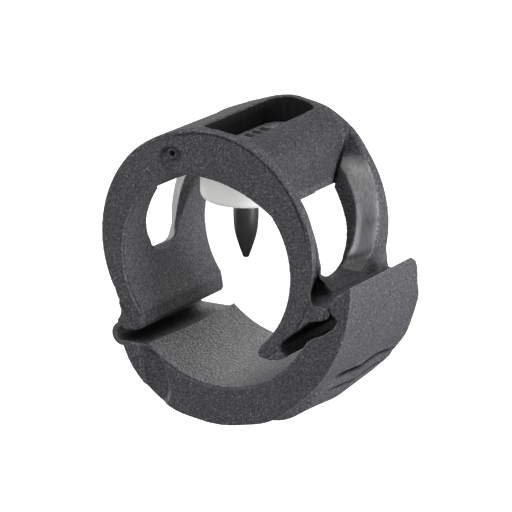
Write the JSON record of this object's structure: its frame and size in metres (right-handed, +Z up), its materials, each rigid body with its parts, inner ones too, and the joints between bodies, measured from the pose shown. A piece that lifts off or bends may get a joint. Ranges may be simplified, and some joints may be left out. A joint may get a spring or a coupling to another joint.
{
  "type": "fence insulator clip",
  "caption": "Hinged snap-fit ring clip in dark plastic that closes round a fence tube, with a pointed locating peg and a white sealing washer inside its crown.",
  "frame": {"origin": "centre of the ring's bore at mid-length", "axes": "+Y along the bore (the front face is towards -Y), +X towards the latch and finger tab, +Z up through the crown and away from the jaw"},
  "size_m": [0.0373, 0.0206, 0.0398],
  "materials": {
    "ring_plastic": "spark-eroded grain, charcoal",
    "jaw_plastic": "spark-eroded grain, charcoal",
    "tab_plastic": "spark-eroded grain, charcoal",
    "hinge_plastic": "smooth flexed web, charcoal",
    "washer_plastic": "satin off-white",
    "peg_plastic": "satin black"
  },
  "bodies": {
    "ring": {"ring_body": "ring_plastic", "living_hinge": "hinge_plastic", "seal_washer": "washer_plastic", "pointed_peg": "peg_plastic"},
    "jaw": {"locking_jaw": "jaw_plastic"},
    "tab": {"finger_tab": "tab_plastic"}
  },
  "joints": [
    {"name": "jaw_swing", "type": "hinge", "parent": "ring", "child": "jaw", "pos_m": [-0.0139, 0, -0.0112], "axis": [0, 1, 0], "range_deg": [0, 110], "deforming": ["living_hinge"]},
    {"name": "tab_flex", "type": "hinge", "parent": "jaw", "child": "tab", "pos_m": [0.01934, 0, -0.00906], "axis": [0, 1, 0], "range_deg": [0, 6]}
  ]
}
